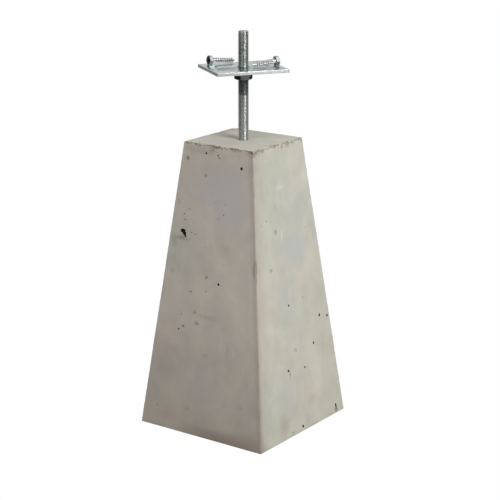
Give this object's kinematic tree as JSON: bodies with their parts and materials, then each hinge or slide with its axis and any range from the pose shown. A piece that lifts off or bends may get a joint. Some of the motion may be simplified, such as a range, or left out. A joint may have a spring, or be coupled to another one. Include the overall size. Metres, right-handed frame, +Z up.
{
  "type": "adjustable concrete pier block",
  "caption": "Battered square concrete pier block with a threaded rod, a levelling nut, a flat bearing plate and loose lag screws for a timber post.",
  "frame": {"origin": "centre of the block's underside", "axes": "+Z up along the threaded rod; +X and +Y square to the block's sides"},
  "size_m": [0.225, 0.225, 0.595],
  "materials": {
    "concrete": "cast grey concrete, matt, with small air voids",
    "rod_zinc": "dull zinc-plated thread",
    "plate_zinc": "bright galvanized sheet, faintly mottled",
    "screw_zinc": "bright zinc plating"
  },
  "bodies": {
    "block": {"concrete_block": "concrete", "threaded_rod": "rod_zinc"},
    "plate": {"levelling_nut": "rod_zinc", "bearing_plate": "plate_zinc", "lag_screw_left": "screw_zinc", "lag_screw_right": "screw_zinc"}
  },
  "joints": [
    {"name": "plate_height", "type": "slide", "parent": "block", "child": "plate", "axis": [0, 0, 1], "range_m": [-0.0885, 0.05]}
  ]
}
